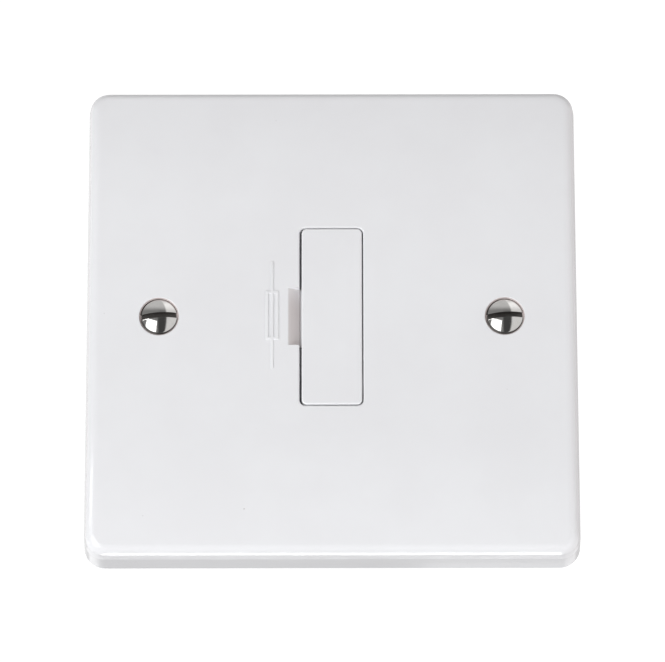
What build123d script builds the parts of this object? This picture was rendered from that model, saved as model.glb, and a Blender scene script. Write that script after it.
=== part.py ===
from build123d import *

import os

# One-gang fused connection unit for a wall box, in millimetres
# The wall is the plane y = 0, the front faces -Y and +Z is up
# The origin lies on the wall, midway between the two fixing screws
# Names in _front are distances in front of the wall, names in _back distances behind it

# Front plate
plate_width = 86.0
plate_height = 86.0
plate_front = 9.6
plate_corner_radius = 3.7
plate_edge_radius = 1.8
plate_draft = 1.0
skirt_front = 4.9
edge_draft = 7.0
crown_start = 22.0
crown_radius = 140.0
face_wall = 2.4
rim_wall = 2.2
hollow_edge_radius = 1.0

# Overlap that joins a feature to a wall, and the length a cut runs past a face
join = 0.5
past = 1.0

# Fixing screws and their bosses
fixing_pitch = 60.3
fixing_thread_radius = 1.75
fixing_neck_radius = 1.5
fixing_head_radius = 3.2
fixing_head_sink = 0.22
fixing_dome_height = 1.05
fixing_point_back = 15.4
fixing_point_chamfer = 0.5
fixing_neck_back = 0.15
fixing_thread_back = 0.4
fixing_slot_width = 0.95
fixing_slot_depth = 1.25
fixing_slot_turn = 4.0
fixing_hole_gap = 0.5
fixing_seat_gap = 0.08
countersink_edge_radius = 0.15
fixing_boss_wall = 2.6
fixing_boss_setback = 0.4
boss_rib_thickness = 1.4
boss_rib_front = 2.6

# Cartridge fuse
fuse_length = 25.4
fuse_cap_radius = 3.175
fuse_cap_length = 5.6
fuse_cap_wall = 0.35
fuse_axis_front = 1.5
fuse_seat_gap = 0.05
fuse_end_gap = 0.2

# Fuse carrier and the opening it slides in
carrier_end_block = 2.6
carrier_jaw_wall = 1.825
carrier_corner_radius = 0.9
carrier_edge_radius = 0.3
carrier_proud = 0.15
carrier_gap = 0.28
carrier_end_gap = 0.15
carrier_offset = 0.08
carrier_ledge = 0.6
carrier_seat_gap = 0.06
carrier_guide_gap = 0.3
carrier_back = 1.5
carrier_lip = 1.15
carrier_jaw_back = 0.9
carrier_jaw_grip = 0.35
carrier_jaw_clear = 1.1
lever_pocket_depth = 0.9
ramp_width = 2.1
ramp_height = 10.6
ramp_radius = 8.0
well_wall = 1.2
well_front = 0.6

# Spring contacts and links, cut from strip
strip_back = 2.3
strip_thickness = 0.8
strip_gap = 0.25
clip_thickness = 0.6
clip_width = 4.8
clip_gap = 0.05
clip_bend = 2.1
clip_bend_radius = 0.5
clip_flare_radius = 0.8
clip_reach = 3.4
clip_flare = 0.5
link_tab_width = 6.0
link_width = 3.2
tab_corner_radius = 0.8
rivet_radius = 1.5
rivet_head_radius = 2.3
rivet_head_height = 0.5
rivet_gap = 0.05

# Terminal blocks, their wire bores and clamping screws
block_width = 9.0
block_depth = 9.0
block_height = 10.0
block_chamfer = 0.4
earth_web = 0.5
wire_bore_radius = 2.2
clamp_thread_radius = 1.75
clamp_thread_gap = 0.05
clamp_point_chamfer = 0.4
clamp_head_radius = 2.75
clamp_head_height = 2.3
clamp_head_chamfer = 0.3
clamp_slot_width = 0.9
clamp_slot_depth = 1.2
clamp_rest_gap = 0.12

# Rear housing
housing_back = 19.22
housing_wall = 1.8
housing_corner_radius = 2.5
housing_edge_radius = 0.8
housing_screw_cover = 0.7
pocket_gap = 0.2
pocket_wall = 2.35
chamber_wall = 1.1
core_wall = 1.6
valley_back = 8.4
valley_lean = 1.6
tower_slot_width = 1.6
tower_slot_root = 1.4
screw_well_gap = 0.35
collar_wall = 0.9
collar_height = 0.8
wire_entry_gap = 0.4
wire_funnel_depth = 0.9
wire_funnel_angle = 40.0
locating_gap = 0.25
locating_rib_wall = 1.4
locating_rib_height = 2.6
post_radius = 2.4
post_gap = 0.1

# Screws that hold the housing to the plate
housing_screw_length = 8.0
housing_screw_radius = 1.2
housing_screw_gap = 0.3
housing_screw_head_radius = 2.3
housing_screw_head_height = 1.5
housing_screw_head_round = 0.6
housing_screw_slot_width = 0.7
housing_screw_slot_depth = 0.8
housing_screw_slot_turn = 35.0
housing_screw_seat = 2.8
pillar_wall = 1.08
pillar_back = 2.6
pillar_gap = 0.2
pillar_cover = 0.7
pilot_gap = 0.02
pilot_end_gap = 0.3

# Fuse and carrier sizes that follow
face_inside_front = plate_front - face_wall
fuse_barrel_radius = fuse_cap_radius - fuse_cap_wall - fuse_seat_gap
fuse_cap_start = fuse_length / 2 - fuse_cap_length
end_block_start = fuse_length / 2 + fuse_end_gap
guide_width = 2 * (fuse_barrel_radius + fuse_seat_gap + carrier_jaw_wall)
guide_height = 2 * (end_block_start + carrier_end_block)
well_width = guide_width + 2 * carrier_guide_gap
well_height = guide_height + 2 * carrier_guide_gap
opening_width = well_width + 2 * carrier_ledge
opening_height = well_height + 2 * carrier_ledge
carrier_width = opening_width - 2 * carrier_gap
carrier_height = opening_height - 2 * carrier_end_gap
opening_left = opening_width / 2 + carrier_offset
shelf_front = plate_front - carrier_lip - carrier_gap
well_outer_width = well_width + 2 * well_wall
well_outer_height = well_height + 2 * well_wall
flange_front = face_inside_front + carrier_seat_gap
jaw_height = 2 * (fuse_cap_start - carrier_jaw_clear)
clip_centre = fuse_length / 2 - fuse_cap_length / 2

# Terminal and housing sizes that follow
contact_back = strip_back + strip_thickness
block_back = contact_back + block_depth
wire_bore_back = contact_back + block_depth / 2
pocket_width = block_width + 2 * pocket_gap
pocket_height = block_height + 2 * pocket_gap
earth_x = block_width / 2 + earth_web / 2
earth_bar_width = 2 * earth_x + block_width
earth_pocket_width = earth_bar_width + 2 * pocket_gap
terminal_x = earth_pocket_width / 2 + pocket_wall + pocket_width / 2
chamber_width = well_outer_width + 2 * pocket_gap
chamber_height = well_outer_height + 2 * pocket_gap
terminal_z = chamber_height / 2 + chamber_wall + pocket_height / 2
clamp_tip_back = wire_bore_back + wire_bore_radius + clamp_rest_gap
clamp_head_back = housing_back - housing_screw_cover
clamp_seat_back = clamp_head_back - clamp_head_height
clamp_length = clamp_seat_back - clamp_tip_back
screw_well_radius = clamp_head_radius + screw_well_gap
rivet_head_back = strip_back - rivet_head_height
link_x = terminal_x - link_tab_width / 2 + link_width / 2
pillar_radius = housing_screw_radius + pilot_gap + pillar_wall
pillar_x = link_x + link_width / 2 + strip_gap + pillar_cover + pillar_gap + pillar_radius
housing_screw_seat_back = pillar_back + housing_screw_seat
housing_width = 2 * (pillar_x + pillar_radius + pillar_gap + housing_wall)
housing_height = 2 * (terminal_z + pocket_height / 2 + housing_wall)
valley_half = terminal_z - pocket_height / 2 - housing_wall
fixing_hole_radius = fixing_thread_radius + fixing_hole_gap
fixing_boss_radius = fixing_hole_radius + fixing_boss_wall
countersink_radius = fixing_head_radius + fixing_head_sink + 2 ** 0.5 * fixing_seat_gap

# Where the repeated pieces sit, seen from the front
strip_spots = [(-terminal_x, terminal_z), (-terminal_x, -terminal_z),
               (terminal_x, terminal_z), (terminal_x, -terminal_z)]
earth_spots = [(-earth_x, -terminal_z), (earth_x, -terminal_z)]
clamp_spots = strip_spots + earth_spots
clamp_names = ["supply_live", "load_live", "supply_neutral", "load_neutral", "supply_earth", "load_earth"]
clamp_slot_turns = [20.0, 75.0, -35.0, 5.0, 50.0, -60.0]
pillar_spots = [(-pillar_x, 0), (pillar_x, 0)]


def facing(distance):
    """Plane parallel to the wall, that far in front of it, with its normal to the front."""
    return Plane.XZ.offset(distance)


def save(builder, label):
    """Name a finished piece and write it out."""
    builder.part.label = label
    export_step(builder.part, f"parts/{label}.step")


os.makedirs("parts", exist_ok=True)

# Front plate: a shell with an upright skirt and leaning sides, open at the back
with BuildPart() as front_plate:
    with BuildSketch(facing(0)):
        RectangleRounded(plate_width, plate_height, plate_corner_radius)
    extrude(amount=skirt_front, taper=plate_draft)
    extrude(front_plate.faces().sort_by(Axis.Y)[0], amount=plate_front + past - skirt_front, taper=edge_draft)

    # Face: flat across the middle, falling away to the top and bottom edges
    with BuildSketch(Plane.YZ.offset(-plate_width)):
        with BuildLine():
            crown_reach = plate_height / 2 - crown_start + past
            crown_drop = crown_radius - (crown_radius ** 2 - crown_reach ** 2) ** 0.5
            face_high = (-plate_front, crown_start)
            face_low = (-plate_front, -crown_start)
            edge_high = (crown_drop - plate_front, crown_start + crown_reach)
            edge_low = (crown_drop - plate_front, -crown_start - crown_reach)
            Line(face_low, face_high)
            RadiusArc(face_high, edge_high, crown_radius)
            RadiusArc(face_low, edge_low, -crown_radius)
            Polyline(edge_high, (past, crown_start + crown_reach), (past, -crown_start - crown_reach), edge_low)
        make_face()
    extrude(amount=2 * plate_width, mode=Mode.INTERSECT)
    crown_lines = front_plate.edges().filter_by(Axis.X).group_by(Axis.Y)[0]
    fillet(front_plate.faces().sort_by(Axis.Y)[:3].edges() - crown_lines, plate_edge_radius)
    with BuildSketch(facing(0)):
        RectangleRounded(plate_width - 2 * rim_wall, plate_height - 2 * rim_wall,
                         plate_corner_radius - rim_wall)
    extrude(amount=face_inside_front, taper=plate_draft, mode=Mode.SUBTRACT)
    inside = front_plate.faces().filter_by(Axis.Y).sort_by(Axis.Y)[1]
    fillet(inside.edges(), hollow_edge_radius)

    # Bosses round the fixing screws, with a rib to each side
    with BuildSketch(facing(fixing_boss_setback)):
        with GridLocations(fixing_pitch, 1, 2, 1):
            Circle(fixing_boss_radius)
    extrude(amount=face_inside_front - fixing_boss_setback + join)
    rib_reach = plate_width / 2 - rim_wall / 2
    with BuildSketch(facing(boss_rib_front)):
        with GridLocations(fixing_pitch / 2 + rib_reach, 1, 2, 1):
            Rectangle(rib_reach - fixing_pitch / 2, boss_rib_thickness)
    extrude(amount=face_inside_front - boss_rib_front + join)

    # Guide well round the carrier
    with BuildSketch(facing(well_front)):
        RectangleRounded(well_outer_width, well_outer_height, carrier_corner_radius)
    extrude(amount=face_inside_front - well_front + join)

    # Frame that locates the housing
    with BuildSketch(facing(face_inside_front - locating_rib_height)):
        frame_clear = 2 * locating_gap
        RectangleRounded(housing_width + frame_clear + 2 * locating_rib_wall,
                         housing_height + frame_clear + 2 * locating_rib_wall,
                         housing_corner_radius + locating_gap + locating_rib_wall)
        RectangleRounded(housing_width + frame_clear, housing_height + frame_clear,
                         housing_corner_radius + locating_gap, mode=Mode.SUBTRACT)
    extrude(amount=locating_rib_height + join)

    # Posts that hold the terminals down, and pillars for the housing screws
    strip_post_back = rivet_head_back - post_gap
    with BuildSketch(facing(-strip_post_back)):
        with Locations(strip_spots):
            Circle(post_radius)
    extrude(amount=strip_post_back + face_inside_front + join)
    earth_post_back = contact_back - post_gap
    with BuildSketch(facing(-earth_post_back)):
        with Locations(earth_spots):
            Circle(post_radius)
    extrude(amount=earth_post_back + face_inside_front + join)
    with BuildSketch(facing(-pillar_back)):
        with Locations(pillar_spots):
            Circle(pillar_radius)
    extrude(amount=pillar_back + face_inside_front + join)
    pilot_reach = housing_screw_length - housing_screw_seat + pilot_end_gap
    with BuildSketch(facing(-pillar_back)):
        with Locations(pillar_spots):
            Circle(housing_screw_radius + pilot_gap)
    extrude(amount=pilot_reach, mode=Mode.SUBTRACT)

    # Stepped opening for the carrier
    with BuildSketch(facing(0)):
        Rectangle(well_width, well_height)
    extrude(amount=plate_front + past, mode=Mode.SUBTRACT)
    with BuildSketch(facing(face_inside_front)):
        with Locations((-carrier_offset, 0)):
            RectangleRounded(opening_width, opening_height, carrier_corner_radius + carrier_end_gap)
    extrude(amount=face_wall + past, mode=Mode.SUBTRACT)
    face_edges = front_plate.faces().sort_by(Axis.Y)[0].inner_wires().edges()
    fillet(face_edges, carrier_edge_radius)

    # Ramp for a screwdriver tip, falling to a shelf under the carrier's lip
    with BuildSketch(facing(face_inside_front - join)):
        with Locations((-(opening_left + join + well_width / 2) / 2, 0)):
            Rectangle(opening_left + join - well_width / 2, ramp_height)
    extrude(amount=shelf_front - face_inside_front + join)
    with BuildSketch(Plane.XY.offset(-ramp_height / 2)):
        with BuildLine():
            ramp_high = (-opening_left - ramp_width, -plate_front)
            ramp_low = (-carrier_width / 2, -shelf_front)
            RadiusArc(ramp_high, ramp_low, -ramp_radius)
            Polyline(ramp_low, (-well_width / 2, -shelf_front), (-well_width / 2, -plate_front - past),
                     (-opening_left - ramp_width, -plate_front - past), ramp_high)
        make_face()
    extrude(amount=ramp_height, mode=Mode.SUBTRACT)

    # Countersunk holes for the fixing screws
    with Locations(facing(plate_front)):
        with GridLocations(fixing_pitch, 1, 2, 1):
            CounterSinkHole(fixing_hole_radius, countersink_radius,
                            depth=plate_front, counter_sink_angle=90)
    rims = front_plate.faces().sort_by(Axis.Y)[0].inner_wires().edges().filter_by(GeomType.CIRCLE)
    fillet(rims.sort_by(SortBy.RADIUS)[-2:], countersink_edge_radius)
save(front_plate, "front_plate")

# Fixing screws: raised countersunk heads, a thinner neck in the plate, then the full thread
with BuildPart() as fixing_screws:
    rim_front = plate_front - fixing_head_sink
    for side_x in (-fixing_pitch / 2, fixing_pitch / 2):
        with BuildSketch(Plane.XY):
            with BuildLine():
                cone_end = rim_front - (fixing_head_radius - fixing_neck_radius)
                neck_x = side_x + fixing_neck_radius
                thread_x = side_x + fixing_thread_radius
                crown = (side_x, -rim_front - fixing_dome_height)
                rim = (side_x + fixing_head_radius, -rim_front)
                dome_radius = (fixing_head_radius ** 2 + fixing_dome_height ** 2) / (2 * fixing_dome_height)
                RadiusArc(crown, rim, -dome_radius)
                Polyline(rim, (neck_x, -cone_end), (neck_x, fixing_neck_back), (thread_x, fixing_thread_back),
                         (thread_x, fixing_point_back - fixing_point_chamfer),
                         (thread_x - fixing_point_chamfer, fixing_point_back),
                         (side_x, fixing_point_back), crown)
            make_face()
        revolve(axis=Axis((side_x, 0, 0), (0, 1, 0)))
    with BuildSketch(facing(rim_front + fixing_dome_height)):
        with GridLocations(fixing_pitch, 1, 2, 1):
            Rectangle(2 * fixing_head_radius + past, fixing_slot_width, rotation=fixing_slot_turn)
    extrude(amount=-fixing_slot_depth, mode=Mode.SUBTRACT)
save(fixing_screws, "fixing_screws")

# Fuse carrier: flush front, end blocks that guide it, and jaws that hold the fuse
with BuildPart() as fuse_carrier:
    with BuildSketch(facing(flange_front)):
        RectangleRounded(carrier_width, carrier_height, carrier_corner_radius)
    extrude(amount=plate_front + carrier_proud - flange_front)
    fillet(fuse_carrier.faces().sort_by(Axis.Y)[0].edges(), carrier_edge_radius)
    with BuildSketch(facing(-carrier_back)):
        with GridLocations(1, 2 * end_block_start + carrier_end_block, 1, 2):
            Rectangle(guide_width, carrier_end_block)
    extrude(amount=carrier_back + flange_front)
    chamfer(fuse_carrier.faces().sort_by(Axis.Y)[-2:].edges(), carrier_edge_radius)
    with BuildSketch(facing(-carrier_jaw_back)):
        Rectangle(guide_width, jaw_height)
    extrude(amount=carrier_jaw_back + flange_front)
    with BuildSketch(Plane.XY.offset(-jaw_height / 2)):
        with Locations((0, -fuse_axis_front)):
            Circle(fuse_barrel_radius + fuse_seat_gap)
        with Locations((0, carrier_jaw_back)):
            Rectangle(2 * (fuse_barrel_radius - carrier_jaw_grip), 2 * (fuse_axis_front + carrier_jaw_back))
    extrude(amount=jaw_height, mode=Mode.SUBTRACT)
    with BuildSketch(facing(flange_front)):
        with Locations((-carrier_width / 2, 0)):
            Rectangle(2 * lever_pocket_depth, ramp_height + 2 * carrier_gap)
    extrude(amount=plate_front - flange_front - carrier_lip, mode=Mode.SUBTRACT)
save(fuse_carrier, "fuse_carrier")

# Cartridge fuse: ceramic barrel and two pressed caps
with BuildPart() as fuse_barrel:
    barrel_half = fuse_length / 2 - fuse_cap_wall - fuse_seat_gap
    with BuildSketch(Plane.XY.offset(-barrel_half)):
        with Locations((0, -fuse_axis_front)):
            Circle(fuse_barrel_radius)
    extrude(amount=2 * barrel_half)
save(fuse_barrel, "fuse_barrel")

for place, way, outward in (("upper", 1, Axis.Z), ("lower", -1, -Axis.Z)):
    with BuildPart() as fuse_cap:
        with BuildSketch(Plane.XY.offset(way * fuse_cap_start)):
            with Locations((0, -fuse_axis_front)):
                Circle(fuse_cap_radius)
        extrude(amount=way * fuse_cap_length)
        fillet(fuse_cap.faces().sort_by(outward)[-1].edges(), fuse_cap_wall)
        with BuildSketch(Plane.XY.offset(way * fuse_cap_start)):
            with Locations((0, -fuse_axis_front)):
                Circle(fuse_barrel_radius + fuse_seat_gap)
        extrude(amount=way * (fuse_cap_length - fuse_cap_wall), mode=Mode.SUBTRACT)
    save(fuse_cap, f"fuse_cap_{place}")

# Spring contacts: a fork round each fuse cap, on a strip that runs out to the live terminal
for name, way in (("supply", 1), ("load", -1)):
    with BuildPart() as fuse_contact:
        with BuildSketch(Plane.XY.offset(way * clip_centre - clip_width / 2)) as fork:
            with BuildLine():
                leaf_in = fuse_cap_radius + clip_gap
                leaf_out = leaf_in + clip_thickness
                bend_y = -fuse_axis_front - clip_bend
                tip_y = -fuse_axis_front - clip_reach
                Polyline((leaf_in, strip_back), (leaf_in, bend_y), (leaf_in + clip_flare, tip_y),
                         (leaf_out + clip_flare, tip_y), (leaf_out, bend_y), (leaf_out, contact_back),
                         (-leaf_out, contact_back), (-leaf_out, bend_y), (-leaf_out - clip_flare, tip_y),
                         (-leaf_in - clip_flare, tip_y), (-leaf_in, bend_y), (-leaf_in, strip_back),
                         close=True)
            make_face()
            fillet(fork.vertices().group_by(Axis.Y)[-2], clip_bend_radius)
            fillet(fork.vertices().group_by(Axis.Y)[-1], clip_bend_radius + clip_thickness)
            fillet(fork.vertices().group_by(Axis.Y)[1], clip_flare_radius)
        extrude(amount=clip_width)
        arm_start = leaf_in - clip_bend_radius - clip_thickness
        arm_end = terminal_x + link_tab_width / 2
        tab_start = clip_centre - clip_width / 2
        tab_end = terminal_z + link_tab_width / 2
        with BuildSketch(facing(-strip_back)):
            with Locations((-(arm_end - tab_corner_radius + arm_start) / 2, way * clip_centre)):
                Rectangle(arm_end - tab_corner_radius - arm_start, clip_width)
            with Locations((-terminal_x, way * (tab_start + tab_end) / 2)):
                RectangleRounded(link_tab_width, tab_end - tab_start, tab_corner_radius)
            with Locations((-terminal_x, way * terminal_z)):
                Circle(rivet_radius + rivet_gap, mode=Mode.SUBTRACT)
        extrude(amount=-strip_thickness)
    save(fuse_contact, f"{name}_fuse_contact")

# Neutral link: a strip straight from one neutral block to the other
with BuildPart() as neutral_link:
    with BuildSketch(facing(-strip_back)):
        with Locations((link_x, 0)):
            Rectangle(link_width, 2 * terminal_z)
        with Locations((terminal_x, terminal_z), (terminal_x, -terminal_z)):
            RectangleRounded(link_tab_width, link_tab_width, tab_corner_radius)
            Circle(rivet_radius + rivet_gap, mode=Mode.SUBTRACT)
    extrude(amount=-strip_thickness)
save(neutral_link, "neutral_link")

# Pillar terminals: a wire bore, a tapped hole from behind and a rivet through the strip
terminal_places = [("supply_live", -1, 1), ("load_live", -1, -1),
                   ("supply_neutral", 1, 1), ("load_neutral", 1, -1)]
for name, side, way in terminal_places:
    spot = (side * terminal_x, way * terminal_z)
    with BuildPart() as terminal:
        with BuildSketch(facing(-block_back)):
            with Locations(spot):
                Rectangle(block_width, block_height)
        extrude(amount=block_depth)
        chamfer(terminal.edges(), block_chamfer)
        with BuildSketch(facing(-contact_back)):
            with Locations(spot):
                Circle(rivet_radius)
        extrude(amount=strip_thickness)
        with BuildSketch(facing(-strip_back)):
            with Locations(spot):
                Circle(rivet_head_radius)
        extrude(amount=rivet_head_height)
        with BuildSketch(Plane.XY.offset(way * terminal_z - block_height / 2)):
            with Locations((side * terminal_x, wire_bore_back)):
                Circle(wire_bore_radius)
        extrude(amount=block_height, mode=Mode.SUBTRACT)
        with BuildSketch(facing(-block_back)):
            with Locations(spot):
                Circle(clamp_thread_radius + clamp_thread_gap)
        extrude(amount=block_back - wire_bore_back, mode=Mode.SUBTRACT)
    save(terminal, f"{name}_terminal")

# Earth bar: one block with two wire bores
with BuildPart() as earth_bar:
    with BuildSketch(facing(-block_back)):
        with Locations((0, -terminal_z)):
            Rectangle(earth_bar_width, block_height)
    extrude(amount=block_depth)
    chamfer(earth_bar.edges(), block_chamfer)
    with BuildSketch(Plane.XY.offset(-terminal_z - block_height / 2)):
        with Locations((-earth_x, wire_bore_back), (earth_x, wire_bore_back)):
            Circle(wire_bore_radius)
    extrude(amount=block_height, mode=Mode.SUBTRACT)
    with BuildSketch(facing(-block_back)):
        with Locations(earth_spots):
            Circle(clamp_thread_radius + clamp_thread_gap)
    extrude(amount=block_back - wire_bore_back, mode=Mode.SUBTRACT)
save(earth_bar, "earth_bar")

# Terminal screws: slotted heads behind, backed out until the wire bores are clear
for name, spot, turn in zip(clamp_names, clamp_spots, clamp_slot_turns):
    with BuildPart() as clamp_screw:
        with BuildSketch(facing(-clamp_seat_back)):
            with Locations(spot):
                Circle(clamp_thread_radius)
        extrude(amount=clamp_length)
        chamfer(clamp_screw.faces().sort_by(Axis.Y)[0].edges(), clamp_point_chamfer)
        with BuildSketch(facing(-clamp_head_back)):
            with Locations(spot):
                Circle(clamp_head_radius)
        extrude(amount=clamp_head_height)
        chamfer(clamp_screw.faces().sort_by(Axis.Y)[-1].edges(), clamp_head_chamfer)
        with BuildSketch(facing(-clamp_head_back)):
            with Locations(spot):
                Rectangle(2 * clamp_head_radius + past, clamp_slot_width, rotation=turn)
        extrude(amount=clamp_slot_depth, mode=Mode.SUBTRACT)
    save(clamp_screw, f"{name}_screw")

# Rear housing: a moulded box with terminal towers at both ends and a valley between them
with BuildPart() as rear_housing:
    top = housing_height / 2
    with BuildSketch(Plane.YZ.offset(-housing_width / 2)):
        with BuildLine():
            Polyline((-face_inside_front, -top), (-face_inside_front, top), (housing_back, top),
                     (housing_back, valley_half + valley_lean), (valley_back, valley_half),
                     (valley_back, -valley_half), (housing_back, -valley_half - valley_lean),
                     (housing_back, -top), close=True)
        make_face()
    extrude(amount=housing_width)
    fillet(rear_housing.edges().filter_by(Axis.Y), housing_corner_radius)

    # Gaps between the towers
    tower_inside = terminal_x - pocket_width / 2 - pocket_wall
    tower_height = top - valley_half
    with BuildSketch(facing(-valley_back)):
        with Locations((0, top - tower_height / 2)):
            Rectangle(2 * tower_inside, 2 * tower_height)
    extrude(amount=-housing_back, mode=Mode.SUBTRACT)
    with BuildSketch(facing(-block_back - tower_slot_root)):
        with GridLocations(earth_pocket_width + pocket_wall, 1, 2, 1):
            with Locations((0, -top + tower_height / 2)):
                Rectangle(tower_slot_width, 2 * tower_height)
    extrude(amount=-housing_back, mode=Mode.SUBTRACT)
    fillet(rear_housing.faces().filter_by(Axis.Y).group_by(Axis.Y)[-1].edges(), housing_edge_radius)

    # Pockets for the blocks, open to the plate
    with BuildSketch(facing(face_inside_front)):
        with Locations(strip_spots):
            Rectangle(pocket_width, pocket_height)
        with Locations((0, -terminal_z)):
            Rectangle(earth_pocket_width, pocket_height)
    extrude(amount=-face_inside_front - block_back, mode=Mode.SUBTRACT)

    # Fuse chamber, with channels for the contacts and the link
    arm_end = terminal_x + link_tab_width / 2 + strip_gap
    with BuildSketch(facing(face_inside_front)):
        Rectangle(chamber_width, chamber_height)
        for way in (1, -1):
            with Locations((-arm_end / 2, way * clip_centre)):
                Rectangle(arm_end, clip_width + 2 * strip_gap)
            with Locations((-terminal_x, way * (terminal_z + clip_centre) / 2)):
                Rectangle(link_tab_width + 2 * strip_gap, terminal_z - clip_centre)
        with Locations((link_x, 0)):
            Rectangle(link_width + 2 * strip_gap, 2 * terminal_z)
    extrude(amount=-face_inside_front - contact_back, mode=Mode.SUBTRACT)

    # Cores that keep the moulding's walls even
    core_floor = valley_back - housing_wall
    chamber_side = chamber_width / 2 + core_wall
    link_side = link_width / 2 + strip_gap + core_wall
    socket = pillar_radius + pillar_gap + core_wall
    arm_side = clip_centre - clip_width / 2 - strip_gap - core_wall
    core_top = top - housing_wall
    core_bottom = chamber_height / 2 + core_wall
    side_end = terminal_z - pocket_height / 2 - core_wall
    with BuildSketch(facing(face_inside_front)):
        with Locations((0, (core_top + core_bottom) / 2)):
            Rectangle(2 * (terminal_x - pocket_width / 2 - core_wall), core_top - core_bottom)
        with Locations(((chamber_side + link_x - link_side) / 2, 0)):
            Rectangle(link_x - link_side - chamber_side, 2 * side_end)
        with Locations((-(chamber_side + pillar_x - socket) / 2, 0)):
            Rectangle(pillar_x - socket - chamber_side, 2 * arm_side)
        with GridLocations(1, socket + side_end, 1, 2):
            with Locations(((link_x + link_side + housing_width / 2 - housing_wall) / 2, 0)):
                Rectangle(housing_width / 2 - housing_wall - link_x - link_side, side_end - socket)
    extrude(amount=-face_inside_front - core_floor, mode=Mode.SUBTRACT)

    # Wells for the terminal screws, each with a raised collar
    with BuildSketch(facing(-housing_back - collar_height)):
        with Locations(clamp_spots):
            Circle(screw_well_radius + collar_wall)
    extrude(amount=2 * collar_height)
    with BuildSketch(facing(-housing_back - collar_height)):
        with Locations(clamp_spots):
            Circle(screw_well_radius)
    extrude(amount=collar_height + housing_back - block_back, mode=Mode.SUBTRACT)

    # Wire entries in line with the bores, with funnel mouths
    entry_radius = wire_bore_radius + wire_entry_gap
    for way, entry_xs in ((1, (-terminal_x, terminal_x)),
                          (-1, (-terminal_x, -earth_x, earth_x, terminal_x))):
        with BuildSketch(Plane.XY.offset(way * terminal_z)):
            with Locations(*[(x, wire_bore_back) for x in entry_xs]):
                Circle(entry_radius)
        extrude(amount=way * (top + past - terminal_z), mode=Mode.SUBTRACT)
        with BuildSketch(Plane.XY.offset(way * (top - wire_funnel_depth))):
            with Locations(*[(x, wire_bore_back) for x in entry_xs]):
                Circle(entry_radius)
        extrude(amount=way * 2 * wire_funnel_depth, taper=-wire_funnel_angle, mode=Mode.SUBTRACT)

    # Seats for the housing screws and sockets for the plate's pillars
    with BuildSketch(facing(face_inside_front)):
        with Locations(pillar_spots):
            Circle(pillar_radius + pillar_gap)
    extrude(amount=-face_inside_front - pillar_back, mode=Mode.SUBTRACT)
    with BuildSketch(facing(0)):
        with Locations(pillar_spots):
            Circle(housing_screw_radius + housing_screw_gap)
    extrude(amount=-valley_back - past, mode=Mode.SUBTRACT)
    with BuildSketch(facing(-housing_screw_seat_back)):
        with Locations(pillar_spots):
            Circle(housing_screw_head_radius + housing_screw_gap)
    extrude(amount=-valley_back, mode=Mode.SUBTRACT)
save(rear_housing, "rear_housing")

# Housing screws: pan heads sunk in the valley
with BuildPart() as housing_screws:
    with BuildSketch(facing(-housing_screw_seat_back)):
        with Locations(pillar_spots):
            Circle(housing_screw_radius)
    extrude(amount=housing_screw_length)
    head_back = housing_screw_seat_back + housing_screw_head_height
    with BuildSketch(facing(-head_back)):
        with Locations(pillar_spots):
            Circle(housing_screw_head_radius)
    extrude(amount=housing_screw_head_height)
    fillet(housing_screws.edges().group_by(Axis.Y)[-1], housing_screw_head_round)
    with BuildSketch(facing(-head_back)):
        with Locations(pillar_spots):
            Rectangle(2 * housing_screw_head_radius + past, housing_screw_slot_width,
                      rotation=housing_screw_slot_turn)
    extrude(amount=housing_screw_slot_depth, mode=Mode.SUBTRACT)
save(housing_screws, "housing_screws")
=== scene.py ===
import math

import bmesh
import bpy
from mathutils import Matrix, Vector


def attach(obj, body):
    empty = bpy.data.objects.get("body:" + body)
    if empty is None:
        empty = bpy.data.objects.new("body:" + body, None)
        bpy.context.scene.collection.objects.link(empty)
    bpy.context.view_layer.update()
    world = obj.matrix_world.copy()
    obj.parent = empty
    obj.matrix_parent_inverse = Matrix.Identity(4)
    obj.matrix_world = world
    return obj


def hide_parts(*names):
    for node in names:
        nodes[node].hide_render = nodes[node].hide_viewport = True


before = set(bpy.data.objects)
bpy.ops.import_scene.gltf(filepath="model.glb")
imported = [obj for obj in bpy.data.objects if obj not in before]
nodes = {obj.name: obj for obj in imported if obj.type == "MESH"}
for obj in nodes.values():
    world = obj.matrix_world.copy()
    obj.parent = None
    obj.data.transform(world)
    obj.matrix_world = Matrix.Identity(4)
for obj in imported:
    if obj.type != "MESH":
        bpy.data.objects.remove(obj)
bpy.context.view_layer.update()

# The scene, and one millimetre in metres
scene = bpy.context.scene
MM = 0.001

# Sizes shared with the part, in millimetres; front means in front of the wall
PLATE_FRONT = 9.6
RAMP_LEFT = -7.8
RAMP_RIGHT = -5.45
RAMP_HALF_HEIGHT = 5.3
FIXING_PITCH = 60.3
HEAD_RADIUS = 3.2
HEAD_RIM_FRONT = 9.38
DOME_HEIGHT = 1.05
CROWN_FRONT = HEAD_RIM_FRONT + DOME_HEIGHT
NECK_RADIUS = 1.5
THREAD_RADIUS = 1.75
THREAD_PITCH = 0.6
THREAD_END = 15.4
SLOT_WIDTH = 0.95
SLOT_DEPTH = 1.25
SLOT_TURN = 4.0

# The range that most of a noise falls in
NOISE_LOW = 0.3
NOISE_HIGH = 0.7


# Shader nodes

def calc(tree, operation, first, second=0.0, clamp=False):
    """A math node; each operand is a number or a socket."""
    made = tree.nodes.new("ShaderNodeMath")
    made.operation = operation
    made.use_clamp = clamp
    for place, operand in ((0, first), (1, second)):
        if isinstance(operand, (int, float)):
            made.inputs[place].default_value = operand
        else:
            tree.links.new(operand, made.inputs[place])
    return made.outputs[0]


def times(tree, *factors):
    """Product of sockets and numbers."""
    made = factors[0]
    for factor in factors[1:]:
        made = calc(tree, "MULTIPLY", made, factor)
    return made


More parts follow.
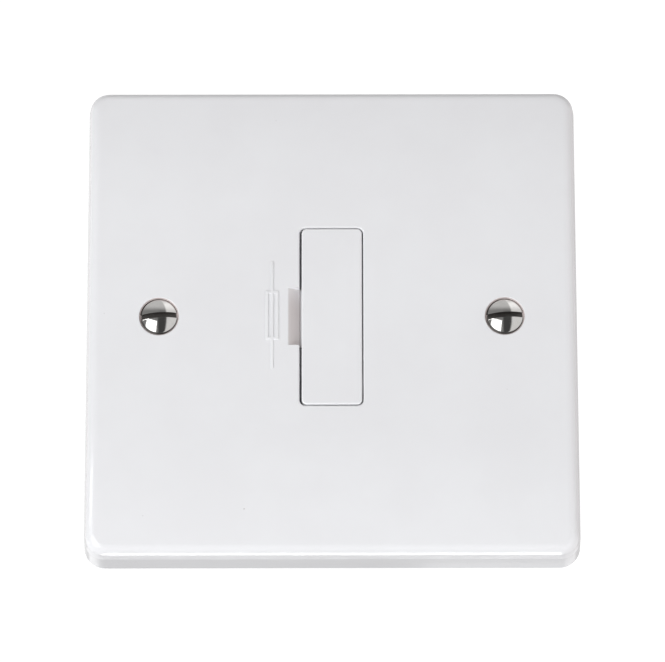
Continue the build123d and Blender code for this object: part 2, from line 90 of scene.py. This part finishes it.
def plus(tree, *terms):
    """Sum of sockets and numbers."""
    made = terms[0]
    for term in terms[1:]:
        made = calc(tree, "ADD", made, term)
    return made


def one_less(tree, share):
    """What a share leaves of 1."""
    return calc(tree, "SUBTRACT", 1.0, share)


def between(tree, value, low, high, to_low=0.0, to_high=1.0):
    """Smooth step of a socket from low to high."""
    made = tree.nodes.new("ShaderNodeMapRange")
    made.interpolation_type = "SMOOTHSTEP"
    tree.links.new(value, made.inputs["Value"])
    made.inputs["From Min"].default_value = low
    made.inputs["From Max"].default_value = high
    made.inputs["To Min"].default_value = to_low
    made.inputs["To Max"].default_value = to_high
    return made.outputs["Result"]


def rising(tree, value, at, soft):
    """0 below a place and 1 above it, softened this far to each side."""
    return between(tree, value, at - soft, at + soft)


def falling(tree, value, at, soft):
    """1 below a place and 0 above it, softened this far to each side."""
    return between(tree, value, at - soft, at + soft, to_low=1.0, to_high=0.0)


def blend_colours(tree, factor, first, second):
    """Mix of two colours, each a tuple or a socket."""
    made = tree.nodes.new("ShaderNodeMix")
    made.data_type = "RGBA"
    tree.links.new(factor, made.inputs[0])
    # Inputs 6 and 7 and output 2 are the node's colours
    for place, colour in ((6, first), (7, second)):
        if isinstance(colour, tuple):
            made.inputs[place].default_value = (*colour, 1.0)
        else:
            tree.links.new(colour, made.inputs[place])
    return made.outputs[2]


def new_material(name):
    """An empty material with one shader."""
    made = bpy.data.materials.new(name)
    made.use_nodes = True
    tree = made.node_tree
    tree.nodes.clear()
    output = tree.nodes.new("ShaderNodeOutputMaterial")
    shader = tree.nodes.new("ShaderNodeBsdfPrincipled")
    tree.links.new(shader.outputs["BSDF"], output.inputs["Surface"])
    return made, tree, shader


def place_of(tree, stretch=(1.0, 1.0, 1.0)):
    """Object coordinates in millimetres, optionally stretched."""
    where = tree.nodes.new("ShaderNodeTexCoord")
    mapping = tree.nodes.new("ShaderNodeMapping")
    mapping.inputs["Scale"].default_value = tuple(s / MM for s in stretch)
    tree.links.new(where.outputs["Object"], mapping.inputs["Vector"])
    return mapping.outputs["Vector"]


def split_axes(tree, vector):
    """The three coordinates of a vector."""
    made = tree.nodes.new("ShaderNodeSeparateXYZ")
    tree.links.new(vector, made.inputs[0])
    return made.outputs


def noise(tree, vector, scale, detail=3.0, roughness=0.5):
    """Fractal noise; scale is in features per millimetre."""
    made = tree.nodes.new("ShaderNodeTexNoise")
    tree.links.new(vector, made.inputs["Vector"])
    made.inputs["Scale"].default_value = scale
    made.inputs["Detail"].default_value = detail
    made.inputs["Roughness"].default_value = roughness
    return made.outputs["Fac"]


def specks(tree, vector, scale, size, share):
    """Mask of small round specks in a share of a Voronoi pattern's cells; size is in cells."""
    made = tree.nodes.new("ShaderNodeTexVoronoi")
    tree.links.new(vector, made.inputs["Vector"])
    made.inputs["Scale"].default_value = scale
    spot = between(tree, made.outputs["Distance"], size / 2, size, to_low=1.0, to_high=0.0)
    split = tree.nodes.new("ShaderNodeSeparateColor")
    tree.links.new(made.outputs["Color"], split.inputs["Color"])
    kept = calc(tree, "LESS_THAN", split.outputs[0], share)
    return times(tree, spot, kept)


def bump(tree, shader, height, depth_mm):
    """Feed a height in 0 to 1 to the shader's normal."""
    made = tree.nodes.new("ShaderNodeBump")
    made.inputs["Strength"].default_value = 1.0
    made.inputs["Distance"].default_value = depth_mm * MM
    tree.links.new(height, made.inputs["Height"])
    tree.links.new(made.outputs["Normal"], shader.inputs["Normal"])


# Materials

def radius_at_screw(tree, x, z, right, up):
    """Distance from the nearer fixing screw's axis, moved a little to the right and up."""
    axis = times(tree, calc(tree, "SIGN", x), FIXING_PITCH / 2)
    side = calc(tree, "SUBTRACT", calc(tree, "SUBTRACT", x, axis), right)
    level = calc(tree, "SUBTRACT", z, up)
    return calc(tree, "SQRT", plus(tree, times(tree, side, side), times(tree, level, level)))


def painted_recess_shade(tree, at):
    """Mask of painted shade on the lever ramp and on the countersinks' walls, behind the plate's face."""
    edge_soft = 0.05
    ramp_depth = 1.8
    top_wall_margin = 0.07
    sink_radius = 3.66
    x, y, z = split_axes(tree, at)
    behind_face = rising(tree, y, -PLATE_FRONT + 0.06, soft=0.04)
    # Painted shade on the ramp, without the wall above it, which faces down into the light
    shallow = falling(tree, y, -PLATE_FRONT + ramp_depth, soft=0.2)
    beside = times(tree, rising(tree, x, RAMP_LEFT, edge_soft), falling(tree, x, RAMP_RIGHT, edge_soft))
    height = calc(tree, "ABSOLUTE", z)
    level = times(tree, falling(tree, height, RAMP_HALF_HEIGHT + edge_soft, edge_soft),
                  falling(tree, z, RAMP_HALF_HEIGHT - top_wall_margin, edge_soft))
    # The painted shade is thinner towards the top and the shallow end
    thin_up = between(tree, z, low=1.5, high=5.2, to_low=0.70, to_high=0.46)
    thin_left = between(tree, x, low=RAMP_LEFT, high=-6.9, to_low=0.80, to_high=1.0)
    ramp = times(tree, beside, level, shallow, thin_up, thin_left)
    sink = falling(tree, radius_at_screw(tree, x, z, right=-0.06, up=0.03), sink_radius, soft=0.06)
    return times(tree, calc(tree, "MAXIMUM", ramp, sink), behind_face)


def moulding(name, light, dark, speck, gloss, grain_depth, recess_shade_colour=None):
    """Moulded thermoset: faint mottle, tiny specks and a fine skin, and painted shade in its recesses when a
    shade colour is given.
    """
    speck_strength = 0.55
    gloss_spread = 0.05
    refraction = 1.58
    made, tree, shader = new_material(name)
    at = place_of(tree)
    mottle = noise(tree, at, scale=0.06, detail=4.0, roughness=0.6)
    grain = noise(tree, at, scale=1.6, roughness=0.55)
    smudge = noise(tree, at, scale=0.35)
    colour = blend_colours(tree, between(tree, mottle, NOISE_LOW, NOISE_HIGH), dark, light)
    large = specks(tree, at, scale=0.12, size=0.022, share=0.3)
    small = specks(tree, at, scale=0.3, size=0.03, share=0.12)
    spots = calc(tree, "ADD", large, small, clamp=True)
    colour = blend_colours(tree, times(tree, spots, speck_strength), colour, speck)
    # Painted shade: the lever ramp and the countersink walls are darkened and warmed in the colour
    if recess_shade_colour:
        colour = blend_colours(tree, painted_recess_shade(tree, at), colour, recess_shade_colour)
    tree.links.new(colour, shader.inputs["Base Color"])
    rough = between(tree, smudge, low=0.25, high=0.75, to_low=gloss, to_high=gloss + gloss_spread)
    tree.links.new(rough, shader.inputs["Roughness"])
    shader.inputs["IOR"].default_value = refraction
    bump(tree, shader, grain, grain_depth)
    return made


def metal(name, light, dark, gloss, stretch=(1.0, 1.0, 1.0), grain_depth=0.004, tarnish=0.35):
    """Plated or bare metal: drawn grain, a little tarnish and handling marks."""
    gloss_spread = 0.08
    tarnish_dulling = 0.25
    made, tree, shader = new_material(name)
    drawn = noise(tree, place_of(tree, stretch), scale=3.0, detail=4.0, roughness=0.6)
    stain = noise(tree, place_of(tree), scale=0.4, detail=5.0, roughness=0.65)
    worn = times(tree, between(tree, stain, low=0.45, high=0.75), tarnish)
    tree.links.new(blend_colours(tree, worn, light, dark), shader.inputs["Base Color"])
    shader.inputs["Metallic"].default_value = 1.0
    rough = plus(tree, between(tree, drawn, NOISE_LOW, NOISE_HIGH, gloss, gloss + gloss_spread),
                 times(tree, worn, tarnish_dulling))
    tree.links.new(rough, shader.inputs["Roughness"])
    bump(tree, shader, drawn, grain_depth)
    return made


def screw_plating(name, light, dark, shadow_ring_colour):
    """Polished plating with fine scratches, and a painted shadow ring round the rim where the gap to the
    countersink is dark.
    """
    stain_strength = 0.3
    shadow_ring_strength = 0.93
    shadow_ring_dulling = 0.3
    shadow_ring_radius = 3.05
    scratch_depth = 0.0025
    made, tree, shader = new_material(name)
    at = place_of(tree)
    x, _, z = split_axes(tree, at)
    scratch = noise(tree, place_of(tree, stretch=(0.25, 1.0, 1.0)), scale=4.0, detail=5.0, roughness=0.65)
    stain = between(tree, noise(tree, at, scale=0.8, detail=5.0, roughness=0.65), low=0.4, high=0.75)
    # Painted shadow: a dark ring inside the head's rim, centred a little right and up so it is widest to the
    # lower left
    shadow_ring = rising(tree, radius_at_screw(tree, x, z, right=0.08, up=0.05), shadow_ring_radius, soft=0.07)
    colour = blend_colours(tree, times(tree, stain, stain_strength), light, dark)
    colour = blend_colours(tree, times(tree, shadow_ring, shadow_ring_strength), colour, shadow_ring_colour)
    tree.links.new(colour, shader.inputs["Base Color"])
    shader.inputs["Metallic"].default_value = 1.0
    polish = between(tree, scratch, NOISE_LOW, NOISE_HIGH, to_low=0.05, to_high=0.13)
    tree.links.new(plus(tree, polish, times(tree, shadow_ring, shadow_ring_dulling)), shader.inputs["Roughness"])
    bump(tree, shader, scratch, scratch_depth)
    return made


def ceramic(name, light, dark):
    """Unglazed fuse barrel: chalky, with a fine pitted skin."""
    pit_depth = 0.03
    made, tree, shader = new_material(name)
    at = place_of(tree)
    pits = noise(tree, at, scale=5.0, detail=4.0, roughness=0.6)
    cloud = noise(tree, at, scale=0.3, detail=4.0, roughness=0.6)
    colour = blend_colours(tree, between(tree, cloud, NOISE_LOW, NOISE_HIGH), dark, light)
    tree.links.new(colour, shader.inputs["Base Color"])
    rough = between(tree, pits, NOISE_LOW, NOISE_HIGH, to_low=0.55, to_high=0.75)
    tree.links.new(rough, shader.inputs["Roughness"])
    bump(tree, shader, pits, pit_depth)
    return made


# The white moulding carries painted shade in the lever ramp and the countersink walls
white = moulding("white_moulding", light=(0.842, 0.849, 0.865), dark=(0.822, 0.826, 0.842),
                 speck=(0.45, 0.44, 0.43), gloss=0.08, grain_depth=0.0025, recess_shade_colour=(0.51, 0.447, 0.434))
grey = moulding("grey_moulding", light=(0.44, 0.45, 0.47), dark=(0.39, 0.40, 0.42),
                speck=(0.16, 0.16, 0.17), gloss=0.38, grain_depth=0.02)
nickel = metal("nickel", light=(0.79, 0.78, 0.755), dark=(0.62, 0.60, 0.56), gloss=0.07,
               grain_depth=0.002, tarnish=0.25)
# The fixing screws' plating carries a painted shadow ring round the head's rim
plating = screw_plating("screw_nickel", light=(0.80, 0.785, 0.765), dark=(0.66, 0.64, 0.61),
                        shadow_ring_colour=(0.045, 0.040, 0.038))
# Painted shade: a dark metal for the slots' floor and walls
slot_shade_metal = metal("screw_slot", light=(0.26, 0.245, 0.235), dark=(0.10, 0.092, 0.088), gloss=0.30,
                   stretch=(0.3, 1.0, 1.0), grain_depth=0.006, tarnish=0.6)
zinc = metal("zinc_steel", light=(0.70, 0.71, 0.72), dark=(0.55, 0.56, 0.55), gloss=0.24)
brass = metal("brass", light=(0.80, 0.62, 0.30), dark=(0.58, 0.42, 0.20), gloss=0.24,
              stretch=(0.2, 1.0, 1.0))
bronze = metal("bronze_strip", light=(0.76, 0.53, 0.32), dark=(0.52, 0.35, 0.21), gloss=0.26,
               stretch=(1.0, 1.0, 0.15))
porcelain = ceramic("fuse_ceramic", light=(0.88, 0.86, 0.80), dark=(0.82, 0.79, 0.71))

# The terminal screws are zinc-plated, and the terminal blocks are brass
finishes = {
    "front_plate": white,
    "fuse_carrier": white,
    "rear_housing": grey,
    "fixing_screws": nickel,
    "housing_screws": zinc,
    "fuse_barrel": porcelain,
    "fuse_cap_upper": nickel,
    "fuse_cap_lower": nickel,
    "supply_fuse_contact": bronze,
    "load_fuse_contact": bronze,
}
for name, piece in nodes.items():
    finish = zinc if name.endswith("_screw") else brass
    piece.data.materials.clear()
    piece.data.materials.append(finishes.get(name, finish))


# Meshes

def new_piece(name, mesh, finish, body):
    """Link a mesh as a piece that rides on a body."""
    piece = bpy.data.objects.new(name, mesh)
    scene.collection.objects.link(piece)
    mesh.materials.append(finish)
    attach(piece, body)
    return piece


def mesh_object(bm, name):
    """Link an object made from a bmesh, which is freed."""
    mesh = bpy.data.meshes.new(name)
    bm.to_mesh(mesh)
    bm.free()
    made = bpy.data.objects.new(name, mesh)
    scene.collection.objects.link(made)
    return made


def closed_object(bm, name):
    """The same for a closed form, with its faces turned outwards."""
    bmesh.ops.recalc_face_normals(bm, faces=bm.faces)
    return mesh_object(bm, name)


def applied(holder, modifiers):
    """The mesh that modifiers make of an object, which is removed; each is a kind and its settings."""
    for kind, settings in modifiers:
        modifier = holder.modifiers.new(kind.lower(), kind)
        for key, value in settings.items():
            setattr(modifier, key, value)
    bpy.context.view_layer.update()
    depsgraph = bpy.context.evaluated_depsgraph_get()
    made = bpy.data.meshes.new_from_object(holder.evaluated_get(depsgraph))
    # An object goes when its mesh is removed
    bpy.data.meshes.remove(holder.data)
    return made


def shade_smooth(mesh, angle):
    """Smooth shading with sharp edges past an angle in degrees."""
    mesh.shade_smooth()
    mesh.set_sharp_from_angle(angle=math.radians(angle))


def ring_of(bm, centre_x, front, radii):
    """A ring of points round a line along Y, in millimetres; one radius for each point."""
    ring = []
    for i, radius in enumerate(radii):
        angle = 2 * math.pi * i / len(radii)
        x = centre_x + radius * math.sin(angle)
        z = radius * math.cos(angle)
        ring.append(bm.verts.new((x * MM, -front * MM, z * MM)))
    return ring


def skin(bm, rings, segments):
    """Faces between rings that follow one another; a ring of one point closes an end."""
    for one, two in zip(rings, rings[1:]):
        for i in range(segments):
            j = (i + 1) % segments
            corners = [one[i % len(one)], one[j % len(one)], two[j % len(two)], two[i % len(two)]]
            bm.faces.new(list(dict.fromkeys(corners)))


# Fixing screws

# Rolled rim of the head, just clear of the countersink: distances out from its radius and back from its rim
RIM_WIDTH = 0.2
RIM_OUTLINE = ((-0.12, -0.060), (-0.05, -0.022), (0.01, 0.010), (0.045, 0.028),
               (0.06, 0.045), (0.04, 0.075), (-0.04, 0.115), (-0.15, 0.18))
DOME_STEPS = 24
HEAD_SEGMENTS = 128
THREAD_SEGMENTS = 36
THREAD_STEPS_PER_TURN = 10

# Metric thread form, in shares of the pitch
THREAD_DEPTH = 0.613 * THREAD_PITCH
CREST_HALF = 0.0625
FLANK = 0.3125

# Where the thread starts behind the wall plane, its run-in and the chamfer of its point
THREAD_START = -0.8
RUN_IN = 0.5
POINT_CHAMFER = 0.55


def head_outline():
    """Half section of a head and the plain neck under it, as (radius, front) points from the crown back."""
    crease = 0.1
    dome_radius = (HEAD_RADIUS ** 2 + DOME_HEIGHT ** 2) / (2 * DOME_HEIGHT)
    widest = math.asin((HEAD_RADIUS - RIM_WIDTH) / dome_radius)
    outline = []
    for i in range(DOME_STEPS + 1):
        angle = widest * i / DOME_STEPS
        outline.append((dome_radius * math.sin(angle), CROWN_FRONT - dome_radius * (1 - math.cos(angle))))
    for out, back in RIM_OUTLINE:
        outline.append((HEAD_RADIUS + out, HEAD_RIM_FRONT - back))
    cone_end = HEAD_RIM_FRONT - (HEAD_RADIUS - NECK_RADIUS)
    outline.append((NECK_RADIUS + crease, cone_end + crease))
    outline += [(NECK_RADIUS, cone_end), (NECK_RADIUS, 0.0), (0.0, 0.0)]
    return outline


def head(centre_x):
    """A head and its neck, turned from their outline."""
    bm = bmesh.new()
    rings = []
    for radius, front in head_outline():
        points = HEAD_SEGMENTS if radius else 1
        rings.append(ring_of(bm, centre_x, front, [radius] * points))
    skin(bm, rings, HEAD_SEGMENTS)
    return closed_object(bm, "head")


def thread_radius(back, turned):
    """Radius of the thread this far behind the wall plane, after a share of a turn."""
    phase = (back / THREAD_PITCH - turned) % 1.0
    off_crest = min(phase, 1.0 - phase)
    crest = min(1.0, max(0.0, (CREST_HALF + FLANK - off_crest) / FLANK))
    crest *= min(1.0, max(0.0, back / RUN_IN))
    radius = THREAD_RADIUS - THREAD_DEPTH + THREAD_DEPTH * crest
    return min(radius, THREAD_RADIUS - POINT_CHAMFER + (THREAD_END - back))


def thread(centre_x):
    """Helical thread from the neck to the point."""
    bm = bmesh.new()
    length = THREAD_END - THREAD_START
    steps = round(length / THREAD_PITCH * THREAD_STEPS_PER_TURN)
    rings = []
    for k in range(steps + 1):
        back = THREAD_START + length * k / steps
        radii = [thread_radius(back, i / THREAD_SEGMENTS) for i in range(THREAD_SEGMENTS)]
        rings.append(ring_of(bm, centre_x, -back, radii))
    skin(bm, rings, THREAD_SEGMENTS)
    bm.faces.new(rings[0])
    bm.faces.new(list(reversed(rings[-1])))
    return closed_object(bm, "thread")


def slot_cutter(turn):
    """A box as wide as the slot, longer than the head and open to the front."""
    length = 10.0
    above = 2.0
    bm = bmesh.new()
    bmesh.ops.create_cube(bm, size=1.0)
    middle = Vector((0.0, (SLOT_DEPTH - above) / 2 - CROWN_FRONT, 0.0))
    size = (length * MM, (SLOT_DEPTH + above) * MM, SLOT_WIDTH * MM, 1.0)
    shape = turn @ Matrix.Translation(middle * MM) @ Matrix.Diagonal(size)
    bmesh.ops.transform(bm, matrix=shape, verts=bm.verts)
    return closed_object(bm, "slot_cutter")


def fixing_screw(centre_x):
    """Raised countersunk head with a rolled rim and a slot, the plain neck and the thread, in one shell."""
    slot_bevel = {"width": 0.10 * MM, "segments": 4, "limit_method": "ANGLE", "angle_limit": math.radians(38)}
    smallest_edge = 0.001 * MM
    side_margin = 0.005
    floor_margin = 0.01
    turn = Matrix.Translation((centre_x * MM, 0, 0)) @ Matrix.Rotation(math.radians(-SLOT_TURN), 4, "Y")
    cutter = slot_cutter(turn)
    shank = thread(centre_x)
    made = applied(head(centre_x), [
        ("BOOLEAN", {"operation": "DIFFERENCE", "solver": "EXACT", "object": cutter}),
        ("BEVEL", slot_bevel),
        ("BOOLEAN", {"operation": "UNION", "solver": "EXACT", "object": shank}),
    ])
    for tool in (cutter, shank):
        bpy.data.meshes.remove(tool.data)
    bm = bmesh.new()
    bm.from_mesh(made)
    bmesh.ops.dissolve_degenerate(bm, dist=smallest_edge, edges=bm.edges)
    bm.to_mesh(made)
    bm.free()
    # The slot's floor and walls take the second finish, a dark metal that paints the shade in the slot
    unturn = turn.inverted()
    for face in made.polygons:
        place = unturn @ face.center
        within = abs(place.z) < (SLOT_WIDTH / 2 + side_margin) * MM
        deep = -place.y > (CROWN_FRONT - SLOT_DEPTH - floor_margin) * MM
        face.material_index = 1 if within and deep else 0
    return made


# Left and right, in place of their plain node
for side, way in (("left", -1), ("right", 1)):
    mesh = fixing_screw(way * FIXING_PITCH / 2)
    mesh.name = f"fixing_screw_{side}"
    shade_smooth(mesh, angle=32)
    screw = new_piece(f"fixing_screw_{side}", mesh, plating, "unit")
    mesh.materials.append(slot_shade_metal)
    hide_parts("fixing_screws")


# Raised fuse symbol beside the carrier

def fuse_mark():
    """An upright box with a line through it, on a grid of five columns and five rows, in millimetres."""
    middle, half_width, stroke = -10.4, 1.15, 0.5
    line_top, box_top, box_bottom, line_bottom = 10.1, 4.7, -4.3, -9.7
    rise, sunk = 0.16, 0.05
    edge_bevel = {"width": 0.09 * MM, "segments": 4, "limit_method": "ANGLE", "angle_limit": math.radians(30)}
    left, right = middle - half_width, middle + half_width
    xs = (left, left + stroke, middle - stroke / 2, middle + stroke / 2, right - stroke, right)
    zs = (line_top, box_top, box_top - stroke, box_bottom + stroke, box_bottom, line_bottom)
    high, low = PLATE_FRONT + rise, PLATE_FRONT - sunk
    filled = set()
    for row in range(len(zs) - 1):
        for column in range(len(xs) - 1):
            on_line = column == 2
            on_box = 1 <= row <= 3 and (column in (0, 4) or row in (1, 3))
            if on_line or on_box:
                filled.add((column, row))
    bm = bmesh.new()
    corners = {}

    def corner(column, row, front):
        key = (column, row, front)
        if key not in corners:
            corners[key] = bm.verts.new((xs[column] * MM, -front * MM, zs[row] * MM))
        return corners[key]

    around = ((0, 0), (1, 0), (1, 1), (0, 1))
    outward = ((0, -1), (1, 0), (0, 1), (-1, 0))
    for column, row in filled:
        cell = [(column + across, row + down) for across, down in around]
        bm.faces.new([corner(*at, high) for at in cell])
        bm.faces.new([corner(*at, low) for at in reversed(cell)])
        for k, (across, down) in enumerate(outward):
            if (column + across, row + down) not in filled:
                here, there = cell[k], cell[(k + 1) % len(cell)]
                bm.faces.new([corner(*here, high), corner(*there, high),
                              corner(*there, low), corner(*here, low)])
    mesh = applied(closed_object(bm, "fuse_mark_holder"), [("BEVEL", edge_bevel)])
    mesh.name = "fuse_mark"
    shade_smooth(mesh, angle=40)
    return mesh


new_piece("fuse_mark", fuse_mark(), white, "unit")


# Stage, light and camera, in metres

FLOOR_LEVEL = -1.5
FLOOR_HALF = 6.0
ORIGIN = (0, 0, 0)
PLAIN = (1.0, 1.0, 1.0)
COOL = (0.98, 0.991, 1.0)
WARM = (1.0, 0.962, 0.957)


def pale_floor():
    """A wide pale floor below the camera, with a faint mottle; it throws no light on the unit."""
    bm = bmesh.new()
    bmesh.ops.create_grid(bm, x_segments=8, y_segments=8, size=FLOOR_HALF)
    bmesh.ops.translate(bm, verts=bm.verts, vec=(0, 0, FLOOR_LEVEL))
    floor = mesh_object(bm, "floor")
    made, tree, shader = new_material("floor_paint")
    cloud = noise(tree, place_of(tree), scale=0.002)
    colour = blend_colours(tree, cloud, (0.80, 0.80, 0.80), (0.84, 0.84, 0.84))
    tree.links.new(colour, shader.inputs["Base Color"])
    shader.inputs["Roughness"].default_value = 0.8
    floor.data.materials.append(made)
    floor.visible_glossy = False
    floor.visible_diffuse = False


def softbox(name, location, target, size, radiance, colour=PLAIN, roll=0.0, lights=True, mirrors=True):
    """A rectangular light aimed at a point, which lights surfaces, shows in their gloss or both.

    Radiance is per area and angle, and roll is in degrees.
    """
    width, height = size
    light = bpy.data.lights.new(name, "AREA")
    light.shape = "RECTANGLE"
    light.size = width
    light.size_y = height
    light.energy = radiance * math.pi * width * height
    light.color = colour
    lamp = bpy.data.objects.new(name, light)
    lamp.location = location
    aim = (Vector(target) - Vector(location)).to_track_quat("-Z", "Y").to_matrix()
    lamp.rotation_euler = (aim @ Matrix.Rotation(math.radians(roll), 3, "Z")).to_euler()
    lamp.visible_camera = False
    lamp.visible_diffuse = lights
    lamp.visible_glossy = mirrors
    scene.collection.objects.link(lamp)


def soft_light(tree, x, y, z):
    """What lights the surfaces: one lobe a side, strongest from the right."""
    sides = ((x, -1.0, 0.68), (x, 1.0, 1.56), (y, -1.0, 0.10), (y, 1.0, 0.36), (z, 1.0, 0.05))
    lobes = []
    for axis, way, strength in sides:
        side = calc(tree, "MAXIMUM", times(tree, axis, way), 0.0)
        lobes.append(times(tree, side, side, strength))
    return plus(tree, *lobes)


def room_ahead(tree, x, y, z):
    """What polished metal mirrors in front: a dark gap, a pale panel on the right and a paler ceiling."""
    room_level, panel_level, ceiling_level, gap_depth = 0.22, 0.50, 0.36, 0.74
    nearest = 0.05
    ahead = calc(tree, "MAXIMUM", times(tree, y, -1.0), nearest)
    aside = calc(tree, "DIVIDE", x, ahead)
    panel = times(tree, rising(tree, aside, 0.52, soft=0.08),
                  between(tree, z, low=0.90, high=0.99, to_low=1.0, to_high=0.35))
    ceiling = rising(tree, z, 0.71, soft=0.15)
    gap_left = between(tree, aside, low=-0.14, high=-0.03)
    gap_right = falling(tree, aside, 0.47, soft=0.07)
    gap_top = between(tree, z, low=0.10, high=0.75, to_low=1.0, to_high=0.0)
    gap = times(tree, gap_left, gap_right, gap_top)
    room = plus(tree, times(tree, panel, panel_level), times(tree, ceiling, ceiling_level), room_level)
    return times(tree, room, one_less(tree, times(tree, gap, gap_depth)))


def room_behind(tree, x, z):
    """What the edges mirror behind: glows low on both sides, for the bottom corners, and high on the left."""
    even_level, high_level = 0.50, 0.40
    aside = calc(tree, "ABSOLUTE", x)
    low_sides = rising(tree, aside, 0.20, soft=0.10)
    low_top = between(tree, z, low=0.0, high=0.12, to_low=1.0, to_high=0.0)
    low_level = between(tree, x, low=-0.1, high=0.1, to_low=0.80, to_high=0.50)
    high_side = between(tree, x, low=-0.15, high=0.0, to_low=1.0, to_high=0.15)
    high_bottom = rising(tree, z, 0.15, soft=0.10)
    low_glow = times(tree, low_sides, low_top, low_level)
    high_glow = times(tree, high_side, high_bottom, high_level)
    return plus(tree, low_glow, high_glow, even_level)


def choose(tree, chosen, first, second):
    """The first value where chosen is 1, and the second where it is 0."""
    return plus(tree, times(tree, chosen, first), times(tree, one_less(tree, chosen), second))


def studio_world():
    """Dim warm room, lighter to the right, with its own panels for mirrored rays; white to the camera."""
    camera_level = 1.06
    world = bpy.data.worlds.new("studio")
    scene.world = world
    world.use_nodes = True
    tree = world.node_tree
    tree.nodes.clear()
    where = tree.nodes.new("ShaderNodeTexCoord")
    x, y, z = split_axes(tree, where.outputs["Generated"])
    behind = rising(tree, y, 0.10, soft=0.20)
    mirrored = choose(tree, behind, room_behind(tree, x, z), room_ahead(tree, x, y, z))
    path = tree.nodes.new("ShaderNodeLightPath")
    glossy, seen = path.outputs["Is Glossy Ray"], path.outputs["Is Camera Ray"]
    level = choose(tree, glossy, mirrored, soft_light(tree, x, y, z))
    level = choose(tree, seen, camera_level, level)
    ground = tree.nodes.new("ShaderNodeBackground")
    untinted = calc(tree, "MAXIMUM", glossy, seen)
    tree.links.new(blend_colours(tree, untinted, WARM, PLAIN), ground.inputs["Color"])
    tree.links.new(level, ground.inputs["Strength"])
    output = tree.nodes.new("ShaderNodeOutputWorld")
    tree.links.new(ground.outputs[0], output.inputs["Surface"])


def studio_lights():
    """Key light low on the left with a panel beside it, strips under the bottom edge and a fill behind."""
    # The key lights the surfaces; a dimmer twin just in front of it is what they mirror
    key_roll = -20.0
    softbox("key", (-1.106, -1.618, -0.752), ORIGIN, size=(1.53, 1.83), radiance=3.95,
            colour=COOL, roll=key_roll, mirrors=False)
    softbox("mirrored_key", (-1.051, -1.537, -0.714), ORIGIN, size=(1.45, 1.74), radiance=2.2,
            colour=COOL, roll=key_roll, lights=False)
    softbox("left_panel", (-0.963, -0.674, 0.212), ORIGIN, size=(0.64, 0.151), radiance=3.6)
    softbox("low", (0.0, -0.55, -1.03), ORIGIN, size=(0.9, 0.5), radiance=3.3, colour=COOL, mirrors=False)
    # Strips that draw the highlights along the bottom edge
    bottom_edge = Vector((0, 0, -0.04))
    for name, behind, drop, size, radiance in (
            ("under_near", 0.185, 0.571, (0.24, 0.10), 5.5),
            ("under_middle", 0.309, 0.514, (0.24, 0.10), 4.0),
            ("under_far", 0.446, 0.401, (0.30, 0.16), 7.0)):
        softbox(name, bottom_edge + Vector((0, behind, -drop)), bottom_edge, size, radiance, lights=False)
    # The light that a pale wall would throw on the skirt's lower right
    softbox("wall_bounce", (0.034, -0.0006, -0.0465), (0.034, -0.003, -0.043), size=(0.036, 0.003),
            radiance=0.45, mirrors=False)
    softbox("fill", (0.213, 1.207, 1.028), ORIGIN, size=(1.2, 1.2), radiance=2.4, mirrors=False)
    softbox("floor_wash", (0, 0, FLOOR_LEVEL + 0.1), (0, 0, FLOOR_LEVEL), size=(11.0, 11.0),
            radiance=0.5, mirrors=False)


def photo_camera():
    """Camera below the unit, as in the photograph; the shift is in its pixels."""
    frame_width = 665
    right, up = 0.6, 3.4
    tilt, roll, distance = math.radians(19.475), math.radians(-0.086), 0.996
    lens = bpy.data.cameras.new("camera")
    lens.sensor_width = 36.0
    lens.lens = 306.5
    lens.shift_x = right / frame_width
    lens.shift_y = up / frame_width
    lens.clip_end = 50.0
    camera = bpy.data.objects.new("camera", lens)
    camera.location = (0, -distance * math.cos(tilt), -distance * math.sin(tilt))
    aim = Matrix.Rotation(math.pi / 2 + tilt, 3, "X") @ Matrix.Rotation(roll, 3, "Z")
    camera.rotation_euler = aim.to_euler()
    scene.collection.objects.link(camera)
    scene.camera = camera


pale_floor()
studio_world()
studio_lights()
photo_camera()
scene.view_settings.view_transform = "Standard"
scene.view_settings.look = "None"
